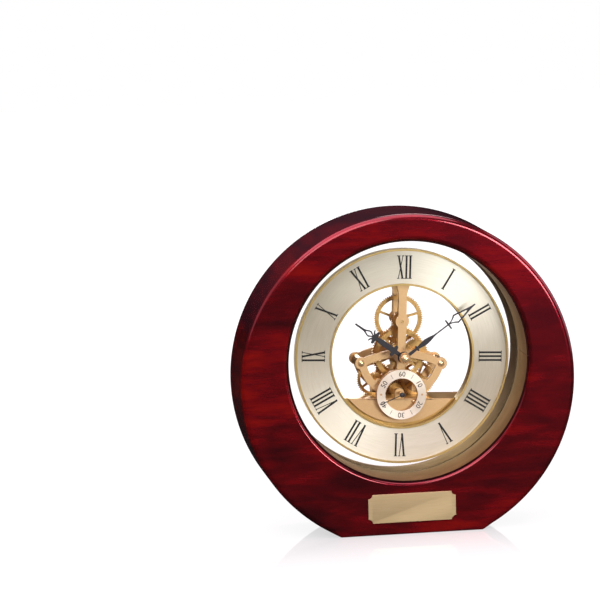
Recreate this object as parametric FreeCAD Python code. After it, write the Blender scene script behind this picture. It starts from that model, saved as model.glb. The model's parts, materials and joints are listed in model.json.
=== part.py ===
import FreeCAD, Part
import math
import os

# Mantel clock with a skeleton movement in a round wooden block, cut flat below.
# Millimetres. The origin is the centre of the base, +Z is up and the front faces -Y.
# Movement places are (x, z) from the dial centre; depths run along +Y from the front.

# Case, built outwards from the movement
wood_above_bore = 14.4
dial_rise = 12.0
base_cut_depth = 9.0
dial_setback = 20.7
rear_margin = 1.0
outer_rounding = 3.0
base_edge_rounding = 1.0
bore_rounding = 1.6
fit_gap = 0.05
overrun = 5.0

# Felt pad under the base
pad_thickness = 1.0
pad_margin = 4.0
pad_corner = 5.0

# Metal plate on the front
plaque_width = 50.0
plaque_height = 16.4
plaque_thickness = 0.6
plaque_notch = 2.4
plaque_rise_share = 0.52

# Bore lining and clear window
liner_wall = 0.8
liner_setback = 1.0
liner_seam = 0.25
window_thickness = 4.0
window_rebate = 0.4
window_ring_width = 6.55

# Movement insert
insert_turn = 2.8
opening_radius = 40.3
rim_width = 1.1
rim_stand = 1.0
rim_overhang = 3.4
shell_depth = 5.0
dial_thickness = 1.0
inner_rim_width = 1.1
inner_rim_stand = 0.5
inner_wall_depth = 5.0
box_to_barrel = 5.5
shell_web = 1.2
shell_wall = 1.2
rear_ring_inset = 1.9
rear_ring_thickness = 1.5
rear_ring_lip = 1.0
ring_post_radius = 2.4
ring_screw_angles = (45.0, 135.0, 200.0, 340.0)
screw_head_radius = 1.7
screw_head_height = 0.9
screw_shank_radius = 0.8
screw_slot_width = 0.4
screw_slot_depth = 0.35
screw_shank_length = 3.2

# Hour numerals on the dial
print_thickness = 0.12
numeral_height_share = 0.706
thick_stroke_share = 0.080
thin_stroke_share = 0.032
serif_reach_share = 0.034
letter_i_share = 0.167
letter_v_share = 0.350
letter_x_share = 0.335
hour_numerals = ("XII", "I", "II", "III", "IIII", "V", "VI", "VII", "VIII", "IX", "X", "XI")

# Plates of the movement
plate_thickness = 1.7
top_boss = 19.4
top_boss_radius = 3.9
hub_boss_radius = 4.6
side_boss_x = 22.9
side_boss_drop = 4.5
side_boss_radius = 3.5
arm_arc_radius = 49.0
arm_width = 4.4
leg_outer_radius = 24.9
leg_inner_radius = 20.5
top_arm_width = 4.7
top_arm_flare_width = 7.6
top_arm_flare_length = 5.3
top_pillar_inset = 3.7
top_arm_end_length = 3.2
neck_width = 5.0
foot_ring_radius = 14.0
foot_ring_inner_radius = 9.7
pivot_boss_radius = 2.4
bush_radius = 1.5
bush_stand = 0.3
pillar_radius = 2.7
pillar_groove = 0.4
plate_screw_radius = 2.0

# Seconds ring
seconds_drop = 21.7
seconds_ring_radius = 14.2
seconds_ring_inner_radius = 9.3
seconds_ring_thickness = 0.8
seconds_ring_stand = 1.5
seconds_pin_radius = 0.9
seconds_rivet_radius = 0.6
seconds_tick_width = 0.18
seconds_tick_share = 0.55
seconds_tick_marks = (5, 25, 35, 55)

# Battery box
box_below_seconds = 2.9
box_wall = 1.2
cover_plate_gap = 1.7
cover_screw_x = 7.8
cover_screw_drop = 1.6
cover_screw_radius = 1.3
cell_radius = 7.25
cell_length = 49.2
cell_button_radius = 2.75
cell_button_length = 1.3
cell_roof = 1.55
cell_gap = 0.3
contact_thickness = 0.4
spring_wire_radius = 0.25
spring_base_radius = 4.2
spring_tip_radius = 2.2
spring_turns = 3
spring_parts_per_turn = 4
small_step = 0.00001
spring_length = 2.6
battery_lid_thickness = 1.5
lid_rail_margin = 8.0
battery_lid_rail_width = 1.4
battery_lid_rail_lip = 1.0
battery_lid_rail_length = 9.0
battery_lid_gap = 0.25
battery_lid_grip_count = 5
battery_lid_grip_width = 16.0
battery_lid_grip_height = 0.5
battery_lid_grip_pitch = 1.8

# Gear train places, teeth and depths
left_arbor_x = -12.5
side_arbor_rise = 6.2
motion_distance = 9.0
motion_angle = 15.0
centre_teeth = 72
top_pinion_teeth = 24
top_wheel_teeth = 70
idler_pinion_teeth = 28
idler_wheel_teeth = 64
side_pinion_teeth = 20
side_wheel_teeth = 50
seconds_pinion_teeth = 20
cannon_teeth = 12
minute_wheel_teeth = 36
minute_pinion_teeth = 10
hour_wheel_teeth = 40
wheel_thickness = 1.0
pinion_extra = 0.6
hour_wheel_gap = 0.6
cannon_gap = 0.8
centre_wheel_gap = 1.3
train_gap = 2.0
motor_space = 3.4
addendum_share = 0.72
dedendum_share = 1.05
root_width_share = 0.60
tip_width_share = 0.20
wheel_rim_share = 0.16
spoke_width = 1.3
spoke_count = 5
centre_spoke_turn = 36.0
top_spoke_turn = 56.0
idler_spoke_turn = 10.0
collet_radius = 2.3
collet_length = 1.1
arbor_radius = 0.8
centre_arbor_radius = 1.0
pipe_wall = 0.75
running_gap = 0.08
seat_gap = 0.02

# Hands and hub
minute_hand_share = 0.99
minute_hand_gap = 1.8
hour_hand_share = 0.68
hour_hand_gap = 2.5
hand_thickness = 0.5
minute_boss_radius = 3.2
hour_boss_radius = 3.5
second_hand_share = 0.958
second_hand_gap = 1.8
second_hand_thickness = 0.35
second_hand_width = 0.55
second_boss_radius = 1.5
nut_radius = 3.3
nut_length = 1.0
nut_collar_radius = 2.7
knob_radius = 5.5
knob_gap = 0.7
knob_thickness = 1.9
knob_flutes = 16
knob_flute_radius = 0.7
shown_hours = 10
shown_minutes = 8
shown_seconds = 41

# Stepping motor behind the seconds arbor
motor_cover_gap = 0.6
motor_cover_thickness = 0.4
motor_half_width = 9.8
motor_height = 9.0
stator_gap = 1.0
stator_thickness = 1.0
stator_bar_height = 4.6
rotor_radius = 2.4
rotor_gap = 0.35
rotor_setback = 0.7
rotor_thickness = 1.6
coil_rise = 8.2
coil_core_radius = 0.6
coil_radius = 1.15
coil_half_length = 6.5
coil_flange = 0.6
board_thickness = 1.0
board_height = 7.0
board_depth = 13.0
pocket_width = 2.0

# Seconds bridge on the battery box
bridge_gap = 1.3
bridge_thickness = 2.2
bridge_width = 5.2

# Worked-out radii, from the cell outwards
box_top_drop = seconds_drop + box_below_seconds
bay_half_length = cell_length / 2 + spring_length + contact_thickness * 2
bay_half_height = cell_radius + cell_gap
cell_drop = box_top_drop + cell_roof + bay_half_height
lid_rail_x = bay_half_length + lid_rail_margin
box_radius = math.hypot(bay_half_length, cell_drop + bay_half_height) + box_wall
barrel_inner_radius = box_radius + box_to_barrel
barrel_radius = barrel_inner_radius + shell_wall
window_hole_radius = barrel_radius + fit_gap
insert_radius = window_hole_radius + rim_overhang
rim_inner = insert_radius - rim_width
inner_lip_radius = opening_radius + inner_rim_width
rear_ring_radius = insert_radius - rear_ring_inset
rear_ring_inner_radius = inner_lip_radius + rear_ring_lip
ring_screw_circle_radius = (inner_lip_radius + barrel_inner_radius) / 2
liner_inner = insert_radius + window_ring_width
liner_outer = liner_inner + liner_wall
bore_radius = liner_outer + fit_gap
case_radius = bore_radius + dial_rise + wood_above_bore
case_centre_height = case_radius - base_cut_depth
dial_height = case_centre_height + dial_rise
cover_plate_radius = opening_radius - cover_plate_gap
top_pillar_height = opening_radius + top_pillar_inset
top_arm_flare_start = opening_radius - top_arm_flare_length
top_arm_end = top_pillar_height + top_arm_end_length
wood_below_bore = dial_height - bore_radius
plaque_centre_height = wood_below_bore * plaque_rise_share

# Worked-out lettering and hands
dial_band = rim_inner - inner_lip_radius
numeral_radius = inner_lip_radius + dial_band / 2
numeral_height = dial_band * numeral_height_share
thick_stroke = numeral_height * thick_stroke_share
thin_stroke = numeral_height * thin_stroke_share
serif_reach = numeral_height * serif_reach_share
letter_i_pitch = numeral_height * letter_i_share
letter_v_width = numeral_height * letter_v_share
letter_x_width = numeral_height * letter_x_share
minute_hand_length = numeral_radius * minute_hand_share
hour_hand_length = minute_hand_length * hour_hand_share
second_hand_length = seconds_ring_radius * second_hand_share

# Worked-out depths, first the movement's own, behind the dial's front
plate_back_depth = dial_thickness + shell_web + plate_thickness
train_depth = hour_wheel_gap + cannon_gap + centre_wheel_gap + 3 * train_gap + 6 * wheel_thickness
movement_depth = plate_back_depth + train_depth + motor_space + plate_thickness
case_depth = dial_setback + movement_depth + knob_gap + knob_thickness + rear_margin
front_face = plaque_thickness / 2 - case_depth / 2
back_face = front_face + case_depth
dial_front = front_face + dial_setback
dial_back = dial_front + dial_thickness
rim_front = dial_front - rim_stand
window_front = dial_front + shell_depth
window_back = window_front + window_thickness
rear_ring_back = window_back + rear_ring_thickness
shell_web_back = dial_back + shell_web
front_plate_front = shell_web_back
front_plate_back = front_plate_front + plate_thickness
hour_level = front_plate_back + hour_wheel_gap
cannon_level = hour_level + wheel_thickness + cannon_gap
centre_level = cannon_level + wheel_thickness + centre_wheel_gap
idler_level = centre_level + wheel_thickness + train_gap
top_level = idler_level + wheel_thickness + train_gap
side_level = top_level + wheel_thickness + train_gap
back_plate_front = side_level + wheel_thickness + motor_space
back_plate_back = back_plate_front + plate_thickness
box_front = front_plate_back
box_back = back_plate_back
lid_back = box_back + battery_lid_thickness
knob_front = back_plate_back + knob_gap
motor_cover_front = side_level + wheel_thickness + motor_cover_gap
stator_front = motor_cover_front + stator_gap
rotor_front = motor_cover_front + rotor_setback
bridge_front = front_plate_back + bridge_gap
seconds_ring_front = dial_front - seconds_ring_stand
seconds_ring_back = seconds_ring_front + seconds_ring_thickness
second_hand_front = seconds_ring_front - second_hand_gap
hour_hand_front = second_hand_front - hour_hand_gap
minute_hand_front = hour_hand_front - minute_hand_gap

# Worked-out places and hand angles
pipe_inner = centre_arbor_radius + running_gap
pipe_outer = pipe_inner + pipe_wall
centre = (0, 0)
side_arbor_drop = seconds_drop - side_arbor_rise
top = (0, top_boss)
left = (left_arbor_x, -side_arbor_drop)
right = (-left_arbor_x, -side_arbor_drop)
seconds = (0, -seconds_drop)
motion = (motion_distance * math.cos(math.radians(motion_angle)),
          motion_distance * math.sin(math.radians(motion_angle)))
side_bosses = ((-side_boss_x, -side_boss_drop), (side_boss_x, -side_boss_drop))
pillar_places = side_bosses + ((0, top_pillar_height),)
minutes_now = shown_minutes + shown_seconds / 60
minute_angle = 360 * minutes_now / 60
hour_angle = 360 * (shown_hours + minutes_now / 60) / 12
second_angle = 360 * shown_seconds / 60

# Hand outlines: (distance along the hand, half width), as shares of the hand's length
minute_blade_shares = ((0.03, 0.020), (0.165, 0.016), (0.172, 0.034), (0.186, 0.034), (0.192, 0.016),
                       (0.24, 0.024), (0.30, 0.032), (0.36, 0.024), (0.42, 0.010), (0.46, 0.0075),
                       (0.612, 0.0075), (0.614, 0.060), (0.630, 0.060), (0.632, 0.0085))
minute_arrow_shares = ((0.630, 0.0085), (0.665, 0.016), (0.700, 0.036), (0.725, 0.056), (0.800, 0.042),
                       (0.900, 0.020), (0.960, 0.009), (1.0, 0.007))
minute_hole_shares = ((0.660, 0.0015), (0.680, 0.010), (0.712, 0.026), (0.730, 0.039), (0.795, 0.026),
                      (0.870, 0.009), (0.885, 0.002))
hour_blade_shares = ((0.06, 0.036), (0.165, 0.034), (0.185, 0.098), (0.222, 0.098), (0.240, 0.048),
                     (0.50, 0.046), (0.555, 0.030), (0.575, 0.110), (0.605, 0.110), (0.625, 0.030))
hour_arrow_shares = ((0.610, 0.030), (0.650, 0.022), (0.700, 0.054), (0.735, 0.050), (0.800, 0.024),
                     (0.840, 0.018), (1.0, 0.014))
hour_hole_shares = ((0.655, 0.003), (0.705, 0.028), (0.730, 0.028), (0.785, 0.004))
hour_barb_shares = ((0.585, 0.010), (0.585, 0.040), (0.640, 0.066), (0.660, 0.104), (0.675, 0.104),
                    (0.662, 0.056), (0.625, 0.010))

parts = {}


def disc(radius, front, back, place=centre):
    """Round bar along the depth."""
    start = FreeCAD.Vector(place[0], front, place[1])
    return Part.makeCylinder(radius, back - front, start, FreeCAD.Vector(0, 1, 0))


def tube(outer, inner, front, back, place=centre):
    return disc(outer, front, back, place).cut(disc(inner, front, back, place))


def slab(points, front, back):
    """Flat piece with a polygon outline of (x, z) points."""
    corners = [FreeCAD.Vector(x, front, z) for x, z in points]
    face = Part.Face(Part.makePolygon(corners + corners[:1]))
    return face.extrude(FreeCAD.Vector(0, back - front, 0))


def box(x0, x1, front, back, z0, z1):
    return Part.makeBox(x1 - x0, back - front, z1 - z0, FreeCAD.Vector(x0, front, z0))


def lathe(profile, place=centre):
    """Ring or turned piece from a closed (radius, depth) profile."""
    corners = [FreeCAD.Vector(place[0] + radius, depth, place[1]) for radius, depth in profile]
    face = Part.Face(Part.makePolygon(corners + corners[:1]))
    return face.revolve(FreeCAD.Vector(place[0], 0, place[1]), FreeCAD.Vector(0, 1, 0), 360)


def turned(shape, degrees, place=centre):
    """Copy turned clockwise, as seen from the front."""
    copy = shape.copy()
    copy.rotate(FreeCAD.Vector(place[0], 0, place[1]), FreeCAD.Vector(0, 1, 0), degrees)
    return copy


def moved(shape, x, depth, z):
    copy = shape.copy()
    copy.translate(FreeCAD.Vector(x, depth, z))
    return copy


def joined(shapes):
    whole = shapes[0]
    for shape in shapes[1:]:
        whole = whole.fuse(shape)
    return whole.removeSplitter()


def on_circle(radius, degrees, place=centre):
    """Point at an angle counted from +x towards +z."""
    angle = math.radians(degrees)
    return (place[0] + radius * math.cos(angle), place[1] + radius * math.sin(angle))


def keep(name, shape):
    """Store a piece that is modelled in the object's own frame."""
    parts[name] = shape


def keep_insert(name, shape):
    """Store a movement piece: turned with the insert and lifted to the dial centre."""
    parts[name] = moved(turned(shape, insert_turn), 0, 0, dial_height)


# Case
def rounded_disc(radius, rounding):
    block = disc(radius, front_face, back_face, (0, case_centre_height))
    rims = [edge for edge in block.Edges if isinstance(edge.Curve, Part.Circle)]
    return block.makeFillet(rounding, rims)


def base_half_width():
    return math.sqrt(case_radius ** 2 - case_centre_height ** 2)


def pad_shape(gap):
    half_x = base_half_width() - pad_margin + gap
    front = front_face + pad_margin - gap
    back = back_face - pad_margin + gap
    plate = box(-half_x, half_x, front, back, 0, pad_thickness)
    corners = [edge for edge in plate.Edges if abs(edge.tangentAt(edge.FirstParameter).z) > 0.5]
    return plate.makeFillet(pad_corner, corners)


def make_case():
    block = rounded_disc(case_radius, outer_rounding)
    bore = disc(bore_radius, front_face - overrun, back_face + overrun, (0, dial_height))
    block = block.cut(bore)
    mouths = [edge for edge in block.Edges if isinstance(edge.Curve, Part.Circle)
              and abs(edge.Curve.Radius - bore_radius) < fit_gap]
    block = block.makeFillet(bore_rounding, mouths)
    below = box(-case_radius - overrun, case_radius + overrun, front_face - overrun, back_face + overrun,
                case_centre_height - case_radius - overrun, 0)
    block = block.cut(below)
    floor_edges = [edge for edge in block.Edges
                   if edge.BoundBox.ZMax < fit_gap and edge.BoundBox.XLength > base_half_width()]
    block = block.makeFillet(base_edge_rounding, floor_edges)
    keep("case_body", block.cut(pad_shape(fit_gap)))
    keep("base_pad", pad_shape(0))


def make_plaque():
    half = plaque_width / 2
    low = plaque_centre_height - plaque_height / 2
    high = plaque_centre_height + plaque_height / 2
    plate = box(-half, half, front_face - plaque_thickness, front_face, low, high)
    for x in (-half, half):
        for z in (low, high):
            corner = disc(plaque_notch, front_face - overrun, front_face + overrun, (x, z))
            plate = plate.cut(corner)
    keep("front_plaque", plate)


def make_window():
    """The front lining band has a rebate for the clear disc, and the rear band holds it in."""
    place = (0, dial_height)
    pane_radius = liner_inner + window_rebate
    seam = box(0, case_radius, front_face, back_face,
               dial_height - liner_seam / 2, dial_height + liner_seam / 2)
    band = tube(liner_outer, liner_inner, front_face + liner_setback, window_back, place)
    rebate = disc(pane_radius + fit_gap, window_front, window_back, place)
    keep("front_liner", band.cut(rebate).cut(seam))
    band = tube(liner_outer, liner_inner, window_back, back_face - liner_setback, place)
    keep("rear_liner", band.cut(seam))
    keep("clear_window", tube(pane_radius, window_hole_radius, window_front, window_back, place))


# Insert
def slotted_screw(place, seat, radius):
    """Flat head on the back with a slot, its shank in front."""
    head_end = seat + screw_head_height
    slot = box(place[0] - radius, place[0] + radius, head_end - screw_slot_depth, head_end,
               place[1] - screw_slot_width / 2, place[1] + screw_slot_width / 2)
    shank = disc(screw_shank_radius, seat - screw_shank_length, seat, place)
    return disc(radius, seat, head_end, place).cut(slot).fuse(shank)


def domed_screw(place, seat, radius):
    """Plain polished head on the front, part of a ball, with its shank behind."""
    ball_radius = (radius ** 2 + screw_head_height ** 2) / (2 * screw_head_height)
    ball_centre = FreeCAD.Vector(place[0], seat - screw_head_height + ball_radius, place[1])
    head = Part.makeSphere(ball_radius, ball_centre)
    head = head.common(disc(ball_radius, seat - screw_head_height, seat, place))
    return head.fuse(disc(screw_shank_radius, seat, seat + screw_shank_length, place))


def screw_hole(place, front, back):
    return disc(screw_shank_radius + seat_gap, front, back, place)


def box_outline(radius, front, back, top_z):
    """Lower part of a disc, below a level line."""
    whole = disc(radius, front, back)
    return whole.cut(box(-radius - overrun, radius + overrun, front, back, top_z, radius + overrun))


def make_insert():
    profile = ((rim_inner, rim_front), (insert_radius, rim_front), (insert_radius, window_front),
               (rim_inner, window_front), (rim_inner, shell_web_back), (barrel_radius, shell_web_back),
               (barrel_radius, window_back), (barrel_inner_radius, window_back),
               (barrel_inner_radius, shell_web_back), (inner_lip_radius, shell_web_back),
               (inner_lip_radius, shell_web_back + inner_wall_depth),
               (opening_radius + seat_gap, shell_web_back + inner_wall_depth),
               (opening_radius + seat_gap, dial_back),
               (opening_radius, dial_back), (opening_radius, dial_front - inner_rim_stand),
               (inner_lip_radius, dial_front - inner_rim_stand), (inner_lip_radius, dial_back),
               (rim_inner, dial_back))
    shell = lathe(profile)
    arm_half = top_arm_flare_width / 2 + running_gap
    wall_back = shell_web_back + inner_wall_depth
    arm_way = box(-arm_half, arm_half, shell_web_back, wall_back + overrun, 0, top_arm_end)
    box_way = box(-box_radius, box_radius, shell_web_back, wall_back + overrun,
                  -barrel_radius + shell_wall, -box_top_drop + fit_gap)
    shell = shell.cut(arm_way).cut(box_way)
    for angle in ring_screw_angles:
        place = on_circle(ring_screw_circle_radius, angle)
        post = disc(ring_post_radius, shell_web_back, window_back, place)
        shell = shell.fuse(post).cut(screw_hole(place, shell_web_back, window_back))
    keep_insert("insert_shell", shell)
    dial = tube(rim_inner - fit_gap, inner_lip_radius + fit_gap, dial_front, dial_back)
    keep_insert("dial_ring", dial)
    make_rear_ring()


def make_rear_ring():
    ring = tube(rear_ring_radius, rear_ring_inner_radius, window_back, rear_ring_back)
    ring = ring.cut(disc(pillar_radius + fit_gap, window_back, rear_ring_back, (0, top_pillar_height)))
    ring = ring.cut(box_outline(box_radius + fit_gap, window_back, rear_ring_back,
                                fit_gap - box_top_drop))
    screws = []
    for angle in ring_screw_angles:
        place = on_circle(ring_screw_circle_radius, angle)
        ring = ring.cut(screw_hole(place, window_back, rear_ring_back))
        screws.append(slotted_screw(place, rear_ring_back, screw_head_radius))
    keep_insert("rear_ring", ring)
    keep_insert("rear_ring_screws", Part.makeCompound(screws))


# Numerals
def stroke(x0, z0, x1, z1, width):
    """Slanted stroke with level ends."""
    half = width / 2
    points = ((x0 - half, z0), (x0 + half, z0), (x1 + half, z1), (x1 - half, z1))
    return slab(points, dial_front - print_thickness, dial_front)


def serif(x, z, width):
    reach = width / 2 + serif_reach
    low = z if z < 0 else z - thin_stroke
    return slab(((x - reach, low), (x + reach, low), (x + reach, low + thin_stroke),
                 (x - reach, low + thin_stroke)), dial_front - print_thickness, dial_front)


def letter(mark, x):
    """One Roman letter centred at x, its middle at height 0."""
    end = numeral_height / 2
    if mark == "I":
        return [stroke(x, -end, x, end, thick_stroke), serif(x, -end, thick_stroke),
                serif(x, end, thick_stroke)]
    if mark == "V":
        half = (letter_v_width - thick_stroke) / 2 - serif_reach
        return [stroke(x, -end, x - half, end, thick_stroke), stroke(x, -end, x + half, end, thin_stroke),
                serif(x - half, end, thick_stroke), serif(x + half, end, thin_stroke)]
    half = (letter_x_width - thick_stroke) / 2 - serif_reach
    return [stroke(x + half, -end, x - half, end, thick_stroke),
            stroke(x - half, -end, x + half, end, thin_stroke),
            serif(x - half, end, thick_stroke), serif(x + half, end, thin_stroke),
            serif(x - half, -end, thin_stroke), serif(x + half, -end, thick_stroke)]


def make_numerals():
    widths = {"I": letter_i_pitch, "V": letter_v_width, "X": letter_x_width}
    numerals = []
    for hour, text in enumerate(hour_numerals):
        x = -sum(widths[mark] for mark in text) / 2
        strokes = []
        for mark in text:
            strokes += letter(mark, x + widths[mark] / 2)
            x += widths[mark]
        upright = moved(joined(strokes), 0, 0, numeral_radius)
        numerals.append(turned(upright, 360 * hour / len(hour_numerals)))
    keep_insert("hour_numerals", Part.makeCompound(numerals))


# Plates
def plate_outline(front, back):
    """Plate seen from the front: top arm, two curved arms, legs and the foot ring."""
    arc_place = (0, side_bosses[0][1] - math.sqrt(arm_arc_radius ** 2 - side_boss_x ** 2))
    below_arm = disc(arm_arc_radius + arm_width / 2, front, back, arc_place)
    under_arm = disc(arm_arc_radius - arm_width / 2, front, back, arc_place)
    body = disc(leg_outer_radius, front, back).common(below_arm)
    windows = disc(leg_inner_radius, front, back).common(under_arm)
    windows = windows.cut(box(-neck_width / 2, neck_width / 2, front, back, -leg_outer_radius, 0))
    body = body.cut(windows)
    half, flare = top_arm_width / 2, top_arm_flare_width / 2
    arm = slab(((-half, 0), (half, 0), (half, top_arm_flare_start), (flare, opening_radius),
                (flare, top_arm_end), (-flare, top_arm_end), (-flare, opening_radius),
                (-half, top_arm_flare_start)), front, back)
    discs = [disc(hub_boss_radius, front, back), disc(top_boss_radius, front, back, top)]
    discs += [disc(side_boss_radius, front, back, place) for place in side_bosses]
    discs += [disc(pivot_boss_radius, front, back, place) for place in (left, right)]
    foot = disc(foot_ring_radius, front, back, seconds)
    whole = joined([body, arm, foot] + discs)
    clear = box(-case_radius, case_radius, front, back, -case_radius, -box_top_drop)
    return whole.cut(clear)


def make_plates():
    front_plate = plate_outline(front_plate_front, front_plate_back)
    foot_hole = disc(foot_ring_inner_radius, front_plate_front, front_plate_back, seconds)
    front_plate = front_plate.cut(foot_hole)
    front_plate = front_plate.cut(disc(pipe_outer + running_gap, front_plate_front, front_plate_back))
    back_plate = plate_outline(back_plate_front, back_plate_back)
    centre_hole = disc(centre_arbor_radius + running_gap, back_plate_front, back_plate_back)
    seconds_hole = disc(arbor_radius + running_gap, back_plate_front, back_plate_back, seconds)
    back_plate = back_plate.cut(centre_hole).cut(seconds_hole)
    for place in (top, left, right):
        hole = disc(arbor_radius + running_gap, front_plate_front, back_plate_back, place)
        front_plate = front_plate.cut(hole)
        back_plate = back_plate.cut(hole)
    front_screws, back_screws = [], []
    for place in pillar_places:
        hole = screw_hole(place, front_plate_front, back_plate_back)
        front_plate = front_plate.cut(hole)
        back_plate = back_plate.cut(hole)
        back_screws.append(slotted_screw(place, back_plate_back, plate_screw_radius))
        if place in side_bosses:
            front_screws.append(domed_screw(place, front_plate_front, plate_screw_radius))
    keep_insert("front_plate", front_plate)
    keep_insert("back_plate", back_plate)
    keep_insert("front_plate_screws", Part.makeCompound(front_screws))
    keep_insert("back_plate_screws", Part.makeCompound(back_screws))
    for name, place in zip(("left_pillar", "right_pillar", "top_pillar"), pillar_places):
        keep_insert(name, pillar(place))
    keep_insert("top_bush", tube(bush_radius, arbor_radius + running_gap, front_plate_front - bush_stand,
                                 front_plate_front, top))


def pillar(place):
    """Turned pillar with a groove near each plate and a screw hole through it."""
    front, back = front_plate_back, back_plate_front
    bore = screw_shank_radius + seat_gap
    neck = pillar_radius - pillar_groove
    step = pillar_groove * 2
    profile = ((bore, front), (pillar_radius, front), (pillar_radius, front + step),
               (neck, front + step), (neck, front + step * 2), (pillar_radius, front + step * 2),
               (pillar_radius, back - step * 2), (neck, back - step * 2), (neck, back - step),
               (pillar_radius, back - step), (pillar_radius, back), (bore, back))
    return lathe(profile, place)


# Seconds ring
def make_seconds_ring():
    """Ring on two pins, which are riveted through it and show as two dots."""
    ring = tube(seconds_ring_radius, seconds_ring_inner_radius, seconds_ring_front, seconds_ring_back,
                seconds)
    ring_width = seconds_ring_radius - seconds_ring_inner_radius
    ring_middle = (seconds_ring_radius + seconds_ring_inner_radius) / 2
    front = seconds_ring_front - print_thickness
    pins = []
    for angle in (0, 180):
        place = on_circle(ring_middle, angle, seconds)
        ring = bored(ring, seconds_rivet_radius + seat_gap, place, seconds_ring_front, seconds_ring_back)
        rivet = disc(seconds_rivet_radius, front, seconds_ring_back, place)
        pins.append(rivet.fuse(disc(seconds_pin_radius, seconds_ring_back, front_plate_front, place)))
    keep_insert("seconds_ring", ring)
    keep_insert("seconds_ring_pins", Part.makeCompound(pins))
    reach = ring_width * seconds_tick_share / 2
    half = seconds_tick_width / 2
    tick = slab(((-half, ring_middle - reach), (half, ring_middle - reach),
                 (half, ring_middle + reach), (-half, ring_middle + reach)), front, seconds_ring_front)
    marks = [moved(turned(tick, 6 * mark), 0, 0, -seconds_drop) for mark in seconds_tick_marks]
    keep_insert("seconds_marks", Part.makeCompound(marks))


# Battery box
def make_battery_box():
    cell_x = cell_length / 2
    bay_x = bay_half_length
    bay_front = box_front + box_wall
    cell_depth = bay_front + cell_gap + cell_radius
    bay_half = bay_half_height
    body = box_outline(box_radius, box_front, box_back, -box_top_drop)
    bay_round = Part.makeCylinder(bay_half, 2 * bay_x, FreeCAD.Vector(-bay_x, cell_depth, -cell_drop),
                                  FreeCAD.Vector(1, 0, 0))
    bay_mouth = box(-bay_x, bay_x, cell_depth, box_back, -cell_drop - bay_half, -cell_drop + bay_half)
    body = body.cut(bay_round).cut(bay_mouth)
    board_x = bay_x + box_wall
    pocket_top = -box_top_drop - cell_roof
    pocket_low = pocket_top - board_height - cell_gap
    pocket = box(board_x, board_x + pocket_width, bay_front + cell_gap, box_back, pocket_low, pocket_top)
    body = body.cut(pocket)
    slot_front = side_level - pinion_extra - running_gap
    slot_back = side_level + wheel_thickness + pinion_extra
    for place in (left, right):
        wheel_clear = gear_outer(side_wheel_teeth, side_module()) + pinion_extra
        body = body.cut(disc(wheel_clear, slot_front, slot_back, place))
    pinion_clear = gear_outer(seconds_pinion_teeth, side_module()) + pinion_extra
    body = body.cut(disc(pinion_clear, slot_front, back_plate_front, seconds))
    rail_low = -box_top_drop - battery_lid_rail_length
    for side in (-1, 1):
        rail = lid_rail(side, rail_low)
        body = body.fuse(rail)
    for x in (-cover_screw_x, cover_screw_x):
        place = (x, -box_top_drop - cover_screw_drop)
        body = body.cut(screw_hole(place, box_front, box_front + screw_shank_length))
    keep_insert("battery_box", body)
    cell = Part.makeCylinder(cell_radius, cell_length, FreeCAD.Vector(-cell_x, cell_depth, -cell_drop),
                             FreeCAD.Vector(1, 0, 0))
    button = Part.makeCylinder(cell_button_radius, cell_button_length,
                               FreeCAD.Vector(cell_x, cell_depth, -cell_drop), FreeCAD.Vector(1, 0, 0))
    keep_insert("battery_cell", cell.fuse(button))
    make_contacts(cell_x, bay_x, cell_depth)
    board = box(board_x + cell_gap, board_x + cell_gap + board_thickness, bay_front + cell_gap,
                bay_front + cell_gap + board_depth, pocket_low, pocket_low + board_height)
    keep_insert("circuit_board", board)
    make_box_cover()
    make_battery_lid(rail_low)


def lid_rail(side, rail_low):
    """Hooked rail that guides one side of the sliding battery cover."""
    inner = side * (lid_rail_x + battery_lid_gap)
    outer = inner + side * battery_lid_rail_width
    lip = inner - side * battery_lid_rail_lip
    lip_front = lid_back + battery_lid_gap
    lip_back = lip_front + battery_lid_grip_height
    wall = box(min(inner, outer), max(inner, outer), box_back, lip_back, rail_low, -box_top_drop)
    hook = box(min(lip, outer), max(lip, outer), lip_front, lip_back, rail_low, -box_top_drop)
    return wall.fuse(hook)


def make_contacts(cell_x, bay_x, cell_depth):
    """Flat contact at the button end and a coiled one at the other."""
    half = cell_radius / 2
    flat = box(bay_x - contact_thickness, bay_x, cell_depth - half, cell_depth + half,
               -cell_drop - half, -cell_drop + half)
    base = moved(flat, contact_thickness - 2 * bay_x, 0, 0)
    keep_insert("battery_contacts", Part.makeCompound([flat, base]))
    start_x = contact_thickness + spring_wire_radius - bay_x
    keep_insert("battery_spring", moved(cone_spring(), start_x, cell_depth, -cell_drop))


def spring_point(turn):
    """Point on the spring's centre line after so many turns, along +X from the wide end."""
    share = turn / spring_turns
    radius = spring_base_radius + (spring_tip_radius - spring_base_radius) * share
    y, z = on_circle(radius, 360 * turn)
    return FreeCAD.Vector((spring_length - 2 * spring_wire_radius) * share, y, z)


def spring_direction(turn):
    return (spring_point(turn + small_step) - spring_point(turn - small_step)).normalize()


def arc_pair(start, start_way, end, end_way):
    """Two arcs that leave start and reach end in the given directions and meet smoothly."""
    across = end - start
    square = 2 * (1 - start_way.dot(end_way))
    linear = 2 * across.dot(start_way + end_way)
    reach = (math.sqrt(linear ** 2 + 4 * square * across.dot(across)) - linear) / (2 * square)
    first_corner = start + start_way * reach
    second_corner = end - end_way * reach
    meeting = (first_corner + second_corner) * 0.5
    arcs = []
    for low, corner, high in ((start, first_corner, meeting), (meeting, second_corner, end)):
        weight = (high - low).Length / (2 * reach)
        middle = ((low + high) * 0.5 + corner * weight) * (1 / (1 + weight))
        arcs.append(Part.Arc(low, middle, high).toShape())
    return arcs


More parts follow.
